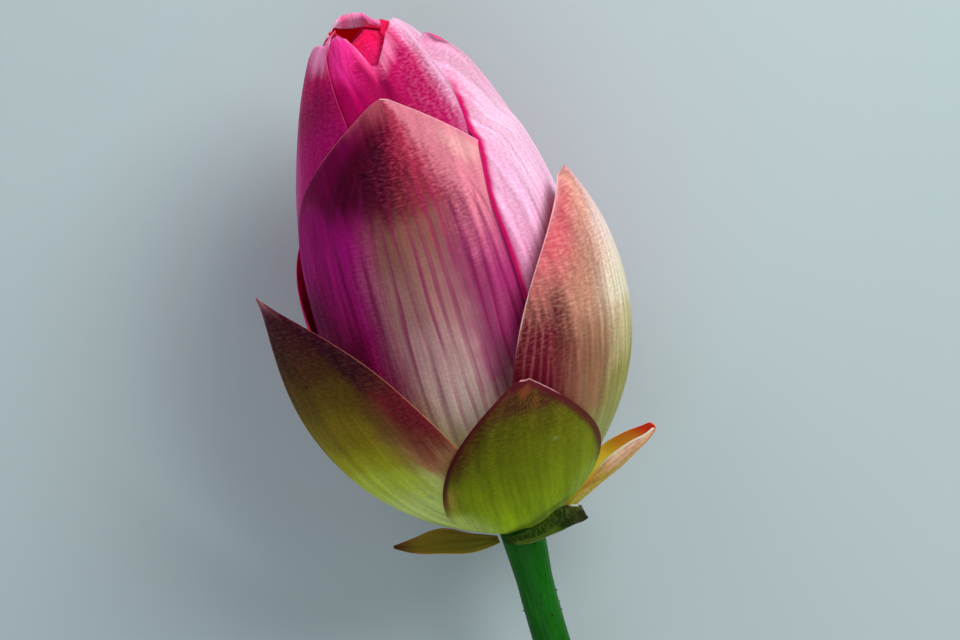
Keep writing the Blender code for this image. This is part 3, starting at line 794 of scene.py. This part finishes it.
make_petal("right_petal", right_finish, "petal_right_inner", "petal_pink", 92, 6, 104.3, 31, taper=38,
           power=0.85, turn=-31, turn_power=12, wrap=62, skew=-0.2, crest=((-1, 0.5), (0, 0), (1, 2.5)),
           relief=right_relief, columns=81)
side_finish = petal_finish(
    "crimson petal skin",
    ((0, (0.5, 0.5, 0.25)), (0.25, (0.6, 0.2, 0.25)), (0.6, (0.8, 0.02, 0.2)), (1, (0.75, 0.01, 0.18))),
    veins=(24, (0.5, 0.002, 0.12), 0.4, (0.1, 0.3)),
    wrinkles=((1, 0.3, 0.5), 0.15, ALL_OVER, (0.5, 0.8)),
    inside=((0, (0.7, 0.6, 0.3)), (0.5, (0.6, 0.02, 0.12)), (1, (0.6, 0.004, 0.1))))
make_petal("side_petal", side_finish, "petal_side_left", "petal_hot_pink", -126, 6, 75, 29, taper=34,
           relief=pleated(0.08, 6, 14))

# ------------------------------
# The two outer petals at the back, which the flower lies on: thin pink blades on broad claws,
# bowed a little away from the bud where they have begun to open.
for side, azimuth, whorl, tip, half_width, taper, bulge, seed in (
        ("right", 138, 7.6, 80, 20, 38, 2.4, 15), ("left", -136, 8.2, 72, 19, 36, 3.0, 16)):
    make_petal(f"outer_petal_back_{side}", pink_finish, f"petal_back_{side}", "petal_pink", azimuth, whorl,
               tip, half_width, taper=taper, bow=(0, 0.5, bulge, 1.6), hug=1, wrap=30,
               relief=pleated(0.06, 5, seed))

# ------------------------------
# The right outer petal, half sepal: coral pink towards the front, cream to yellow green on its
# flank, standing a few millimetres off the bud.
coral_finish = petal_finish(
    "coral petal skin",
    ((0, (0.32, 0.38, 0.08)), (0.3, (0.42, 0.44, 0.14)), (0.42, (0.38, 0.4, 0.11)),
     (0.5, (0.34, 0.34, 0.08)), (0.6, (0.58, 0.52, 0.27)), (0.68, (0.76, 0.71, 0.52)),
     (0.84, (0.77, 0.62, 0.57)), (0.94, (0.74, 0.46, 0.46)), (1, (0.82, 0.34, 0.4))),
    washes=(((0.52, 0.2, 0.12), 0.9, (0.14, -0.45), (0.48, 0.68)),
            ((0.7, 0.32, 0.27), 0.75, (-0.1, -0.45), (0.78, 0.96)),
            ((0.28, 0.13, 0.07), 0.92, (0.14, -0.3), (0.34, 0.48, 0.54, 0.72)),
            # Painted shade: this dark brown wash on the lower front side stands for shade there.
            ((0.22, 0.06, 0.045), 0.85, (-0.3, -0.62), (0.36, 0.5, 0.56, 0.78)),
            ((0.64, 0.08, 0.13), 0.9, (-0.34, -0.8), (0.68, 0.84, 0.93, 1)),
            # Painted shade: this dark crimson wash on the lower front side stands for shade there.
            ((0.12, 0, 0.015), 0.98, (-0.46, -0.74), (0.3, 0.44, 0.66, 0.82)),
            ((0.27, 0.26, 0.05), 0.9, (0.64, 0.9), (0.24, 0.34, 0.5, 0.64)),
            ((0.95, 0.42, 0.5), 0.7, (-0.8, -1), (0.88, 0.94))),
    veins=(30, (0.5, 0.12, 0.1), 0.3, (0.3, 0.5)),
    wrinkles=((0.98, 0.64, 0.5), 0.2, ALL_OVER, (0.56, 0.8)),
    rims=(((1, 0.62, 0.6), 0.7, 0.2, (-0.6, -0.8), (0.6, 0.7)),), lumps=0.45,
    frayed=0.35)
make_petal("right_outer_petal", coral_finish, "petal_right_outer", "petal_coral", 58.5, 9, 71.3, 25.5,
           taper=48, power=2.5, foot=42, bow=(0, 1, 5.7, 2.4), hug=0.75, turn=11, wrap=66,
           crest=((-1, 1), (0, 0), (1, 1)), relief=pleated(0.08, 6, 17), columns=73)

# ------------------------------
# The left sepal: a thick leathery blade, maroon to its tip, olive and green towards its foot,
# that stands away from the bud.
maroon_finish = petal_finish(
    "left sepal skin",
    ((0, (0.5, 0.6, 0.16)), (0.3, (0.7, 0.82, 0.2)), (0.4, (0.58, 0.68, 0.06)), (0.5, (0.41, 0.38, 0.008)),
     (0.6, (0.27, 0.19, 0.005)), (0.7, (0.14, 0.075, 0.003)), (0.8, (0.08, 0.022, 0.006)),
     (0.88, (0.06, 0.006, 0.01)), (0.94, (0.06, 0.002, 0.014)), (1, (0.3, 0.1, 0.12))),
    washes=(((0.7, 0.7, 0.3), 0.7, (0.3, 0.7), (0.24, 0.34, 0.42, 0.5)),
            ((0.42, 0.14, 0.09), 0.85, (0.2, 0.7), (0.38, 0.5, 0.52, 0.66)),
            ((0.2, 0.07, 0.02), 0.8, (0.3, 0.6), (0.5, 0.58, 0.66, 0.76)),
            ((0.2, 0.006, 0.024), 0.97, (0.52, 0.8), (0.5, 0.58, 0.7, 0.8)),
            ((0.045, 0, 0.014), 0.92, (0.45, 0.75), (0.68, 0.8))),
    veins=(26, (0.1, 0.035, 0.004), 0.2, (0.4, 0.6)),
    wrinkles=((0.5, 0.3, 0.12), 0.08, ALL_OVER, (0.3, 0.6)),
    rims=(((0.8, 0.4, 0.3), 0.7, 0.2, (0, -0.4), (0.4, 0.6)),),
    spots=((5.2, 24.3, 0.8, (0.34, 0.42, 0.14), 0.35), (-2.7, 53.8, 0.35, (0.01, 0.005, 0.002), 0.9)),
    inside=((0, (0.6, 0.65, 0.3)), (0.5, (0.5, 0.45, 0.12)), (1, (0.3, 0.05, 0.06))))
make_petal("left_sepal", maroon_finish, "sepal_left", "sepal_maroon", -47.6, 9, 63.8, 17.6, thick=SEPAL,
           taper=50.6, power=2.44, tip_width=0.4, foot=43, bow=(0, 0.9, 5.7, 11), hug=0.05, turn=-10,
           turn_power=8.6, wrap=68, skew=0.1, crest=((-1, 1), (0, 0), (1, 1)),
           relief=pleated(0.06, 6, 18))

# ------------------------------
# The front sepal: a short, broad, leathery olive-green scale with a dark red edge, pressed to the
# bud's foot on a claw of its own.
olive_finish = petal_finish(
    "front sepal skin",
    ((0, (0.48, 0.66, 0.03)), (0.2, (0.4, 0.56, 0.006)), (0.35, (0.34, 0.46, 0.003)),
     (0.5, (0.27, 0.34, 0.003)), (0.6, (0.22, 0.27, 0.003)), (0.7, (0.17, 0.19, 0.004)),
     (0.8, (0.115, 0.11, 0.004)), (0.9, (0.1, 0.045, 0.01)), (1, (0.16, 0.02, 0.03))),
    washes=(((0.6, 0.7, 0.15), 0.85, (-0.3, -0.7), (0.05, 0.15, 0.36, 0.46)),
            ((0.4, 0.24, 0.04), 0.8, (-0.5, -0.85), (0.38, 0.5, 0.56, 0.66)),
            ((0.08, 0.014, 0.005), 0.93, (-0.25, -0.7), (0.56, 0.76, 0.92, 0.98)),
            ((0.07, 0.012, 0.008), 0.85, (-0.6, 0), (0.84, 0.9, 0.94, 0.98)),
            ((0.46, 0.62, 0.09), 0.7, (0.6, 0.9), (0.2, 0.3, 0.4, 0.5))),
    veins=(28, (0.15, 0.19, 0.001), 0.25, (0.05, 0.2)),
    wrinkles=((0.4, 0.36, 0.03), 0.12, ALL_OVER, (0.2, 0.5)),
    rims=(((0.09, 0.006, 0.012), 0.9, 1.9, ALL_OVER, (0.3, 0.6)),
          ((0.85, 0.4, 0.42), 0.7, 0.2, (-0.2, 0), (0.88, 0.93))),
    spots=((1.6, 45.2, 1.2, (0.34, 0.07, 0.02), 0.4), (4.2, 42.6, 1, (0.26, 0.09, 0.02), 0.25),
           (9.7, 33.6, 0.6, (0.3, 0.42, 0.16), 0.3)),
    inside=((0, (0.5, 0.6, 0.2)), (1, (0.4, 0.4, 0.1))))
make_petal("front_sepal", olive_finish, "sepal_front", "sepal_green", 2, 10, 37.5, 19.5, thick=SEPAL,
           taper=34.8, power=2.8, tip_width=1.4, foot=20, bow=(0, -0.1, 2.6, 4), hug=0.3, turn=13, wrap=64,
           skew=0.3, crest=((-1, 0.6), (0, 0), (1, 0.6)), relief=pleated(0.06, 6, 19),
           columns=73, rows=81)

# ------------------------------
# The three withered sepals at the very foot: a flat olive one under the left sepal whose rolled edge is
# darkened by painted shade, a small shrivelled green one under the right, and a curled orange one beyond it.
LEFT_LINE = ((-3.6, -0.9, 1.1, 0.9, 20), (-6, -1.6, 1.5, 1.7, 20), (-9.8, -2.4, 2.3, 2.7, 22),
             (-13.8, -3.2, 3.8, 3.4, 28), (-19.4, -4.8, 5, 2.2, 32), (-24.1, -6.3, 6.6, 0.4, 20))
RIGHT_LINE = ((-2.5, -4.7, 1.1, 1.2, 30), (1.7, -7.4, 0.9, 1.9, 45), (5.9, -9.4, 1.7, 2.1, 50),
              (9.6, -10.9, 2.9, 2.9, 45), (12.2, -11.8, 3.5, 3, 40), (14.5, -12.3, 3.8, 1.9, 30))
CURLED_LINE = ((5.9, 1.2, -0.8, 1.6, 30), (9, 2, 1.2, 2, 60), (12.6, 2.6, 3.1, 2.7, 95),
               (16.8, 3.2, 5, 4, 118), (20.6, 3.2, 6.8, 5.6, 128), (24.4, 2.6, 8.7, 6.6, 132),
               (28.8, 1.2, 11.3, 5.2, 130), (31.2, 0.4, 12.8, 3.5, 118), (33, -0.3, 14.4, 1.7, 100))


def strap_form(line, side, relief, columns=49, rows=89):
    """A narrow leaf on a path of x, y, z, half width and roll. Each row is an arc that bends away from
    the side direction: radius = half width / roll, place = path + across * radius * sin(u * roll)
    + inward * (radius * (1 - cos(u * roll)) + relief)."""
    u, v = np.meshgrid(np.linspace(-1, 1, columns), np.linspace(0, 1, rows))
    path = spline(np.array(line, float) * (1, 1, 1, 1, math.pi / 180), rows)
    way = headings(path[:, :3])
    over = np.array(side) - way * (way @ np.array(side))[:, None]
    over /= np.linalg.norm(over, axis=1)[:, None]
    inward = np.cross(way, over)
    half, roll = path[:, 3:4], path[:, 4:5]
    margin = half * (1 - np.abs(u))
    out, up = half / roll * np.sin(u * roll), half / roll * (1 - np.cos(u * roll)) + relief(u, v, margin)
    place = path[:, None, :3] + out[..., None] * over[:, None] + up[..., None] * inward[:, None]
    reach = np.concatenate([[0], np.cumsum(np.linalg.norm(np.diff(path[:, :3], axis=0), axis=1))])
    return place, u, v, half * u, reach[:, None] + 0 * u, margin


def withered(depth, count, wave, seed):
    """Relief in millimetres: lengthwise creases, and a wave along the margins that grows towards them."""
    def relief(u, v, margin):
        creases = depth * np.cos(count * u + 2 * np.sin(3 * v + seed)) * smooth(v, 0, 0.2)
        flutter = wave * ripple(v * 14, u * 2, seed) * np.abs(u) ** 3
        curl = wave * ripple(v * 9, np.sign(u) * 2, seed + 1) * np.abs(u) ** 6 * smooth(v, 0, 0.3)
        return (creases + flutter) * smooth(margin, -0.1, 0.6) + curl * (1 - smooth(v, 0.85, 1))
    return relief


dry_finish = petal_finish(
    "withered olive sepal skin",
    ((0, (0.75, 0.85, 0.03)), (0.3, (0.95, 0.95, 0.02)), (0.55, (0.95, 0.84, 0.015)),
     (0.75, (0.66, 0.45, 0.015)), (0.9, (0.5, 0.22, 0.01)), (1, (0.3, 0.07, 0.02))),
    washes=(((0.5, 0.52, 0.015), 0.6, (-0.5, -0.9), (0, 0.1, 0.4, 0.5)),),
    veins=(14, (0.3, 0.26, 0.004), 0.4, (-0.2, -0.1)),
    wrinkles=((0.7, 0.6, 0.1), 0.2, ALL_OVER, (0.1, 0.3)),
    # The first rim, a near-black line along the upper margin, is painted shade under the rolled edge.
    rims=(((0.04, 0.03, 0.01), 0.95, 0.5, (-0.3, -0.6), (0.42, 0.5)),
          ((0.7, 0.6, 0.15), 0.6, 0.25, (0.2, 0.4), (0.05, 0.1))),
    inside=((0, (0.2, 0.22, 0.03)), (0.7, (0.3, 0.22, 0.03)), (1, (0.1, 0.04, 0.02))),
    glow=0.35, lumps=0.5)
shrivelled_finish = petal_finish(
    "withered green sepal skin",
    ((0, (0.02, 0.06, 0.002)), (0.35, (0.018, 0.055, 0.001)), (0.6, (0.03, 0.075, 0.001)),
     (0.75, (0.02, 0.04, 0.002)), (0.9, (0.05, 0.06, 0.01)), (1, (0.04, 0.03, 0.015))),
    washes=(((0.14, 0.23, 0.015), 0.9, (-0.3, 0), (0.05, 0.12, 0.6, 0.72)),),
    veins=(12, (0.015, 0.04, 0.002), 0.5, (-0.2, -0.1)),
    wrinkles=((0.3, 0.36, 0.1), 0.2, ALL_OVER, (0, 0.2)),
    rims=(((0.5, 0.46, 0.24), 0.7, 0.22, (0.3, 0.6), (0.1, 0.2, 0.75, 0.9)),
          ((0.75, 0.8, 0.6), 0.8, 0.4, (-0.5, -0.8), (0.86, 0.92, 0.95, 0.98)),
          ((0.02, 0.012, 0.01), 0.9, 0.5, (0, 0.3), (0.8, 0.9))),
    inside=((0, (0.08, 0.12, 0.02)), (1, (0.08, 0.07, 0.03))),
    glow=0.05, lumps=0.7)
curled_finish = petal_finish(
    "curled sepal skin",
    ((0, (0.25, 0.27, 0.03)), (0.3, (0.4, 0.38, 0.05)), (0.5, (0.66, 0.5, 0.06)), (0.7, (0.92, 0.6, 0.14)),
     (0.85, (1, 0.46, 0.14)), (1, (0.95, 0.25, 0.1))),
    washes=(((1, 0.56, 0.42), 0.85, (-0.5, -0.8), (0.5, 0.66)),
            ((0.75, 0.33, 0.05), 0.8, (-0.7, -0.95), (0.25, 0.4, 0.55, 0.66))),
    veins=(14, (0.6, 0.22, 0.05), 0.35, (-0.2, -0.1)),
    wrinkles=((1, 0.8, 0.6), 0.15, ALL_OVER, (0.2, 0.4)),
    # The near-white line round the margin is a painted highlight on the rolled-out rim.
    rims=(((1, 0.86, 0.76), 0.9, 0.4, ALL_OVER, (0.45, 0.6)),),
    inside=((0, (0.3, 0.32, 0.03)), (0.3, (0.7, 0.6, 0.03)), (0.55, (1, 0.8, 0.08)), (0.75, (1, 0.5, 0.06)),
            (0.95, (0.9, 0.08, 0.03)), (1, (0.7, 0.04, 0.02))),
    glow=0.6)
make_sheet("withered_sepal_left", strap_form(LEFT_LINE, (0.1, -0.68, -0.72), withered(0.08, 9, 0.22, 2)),
           dry_finish, "sepal_withered_left", "sepal_withered_olive", STRAP)
make_sheet("withered_sepal_right", strap_form(RIGHT_LINE, (0.45, 0.4, -0.78), withered(0.14, 8, 0.5, 4)),
           shrivelled_finish, "sepal_withered_right", "sepal_withered_dark", STRAP)
make_sheet("curled_sepal",
           strap_form(CURLED_LINE, (-0.24, 0.906, 0.35), withered(0.06, 10, 0.14, 6), columns=81),
           curled_finish, "sepal_curled", "sepal_orange", STRAP)

# ------------------------------
# The floor, the lights and the camera: a matt pale floor under a large warm soft box, a cool one
# opposite and a small one beyond the tip. The camera looks straight down on the flower, which is
# its own front view, and is turned so that the flower leans to the left.
AIM = lay_down((5.06, 0, 45.0))
CAMERA_HEIGHT, CAMERA_LENS, CAMERA_TURN = 0.8, 150, 16.1

bpy.ops.mesh.primitive_plane_add(size=4)
floor = bpy.context.object
floor.name = "floor"
floor_finish, shader, place = new_finish("floor")
pale = ramp(grain(place, 3, 2), ((0.3, (0.48, 0.585, 0.6)), (0.7, (0.53, 0.625, 0.635))))
feed(shader, {"Base Color": pale, "Roughness": 0.9})
floor.data.materials.append(floor_finish)


def lamp(name, place, size, power, colour):
    """A square soft box at a place from the point aimed at, turned towards it."""
    light = bpy.data.lights.new(name, "AREA")
    light.size, light.energy, light.color = size, power, colour
    made = bpy.data.objects.new(name, light)
    made.location = AIM + np.array(place)
    made.rotation_euler = Vector([-c for c in place]).to_track_quat("-Z", "Y").to_euler()
    scene.collection.objects.link(made)


lamp("key", (0.45, 0.30, 0.40), 0.42, 3.9, (1.0, 0.98, 0.95))
lamp("fill", (-0.25, -0.45, 0.75), 0.8, 1.5, (0.85, 0.92, 1.0))
lamp("tip", (-0.16, 0.5, 0.12), 0.2, 0.7, (1.0, 0.97, 0.93))

world = bpy.data.worlds.new("studio")
world.use_nodes = True
feed(world.node_tree.nodes["Background"], {"Color": (0.85, 0.92, 1.0, 1), "Strength": 0.30})
scene.world = world
scene.view_settings.view_transform = "Standard"

camera_data = bpy.data.cameras.new("camera")
camera_data.lens = CAMERA_LENS
camera_data.clip_start = 0.05
camera = bpy.data.objects.new("camera", camera_data)
camera.location = AIM + np.array((0, 0, CAMERA_HEIGHT))
camera.rotation_euler = (0, 0, -math.radians(CAMERA_TURN))
scene.collection.objects.link(camera)
scene.camera = camera
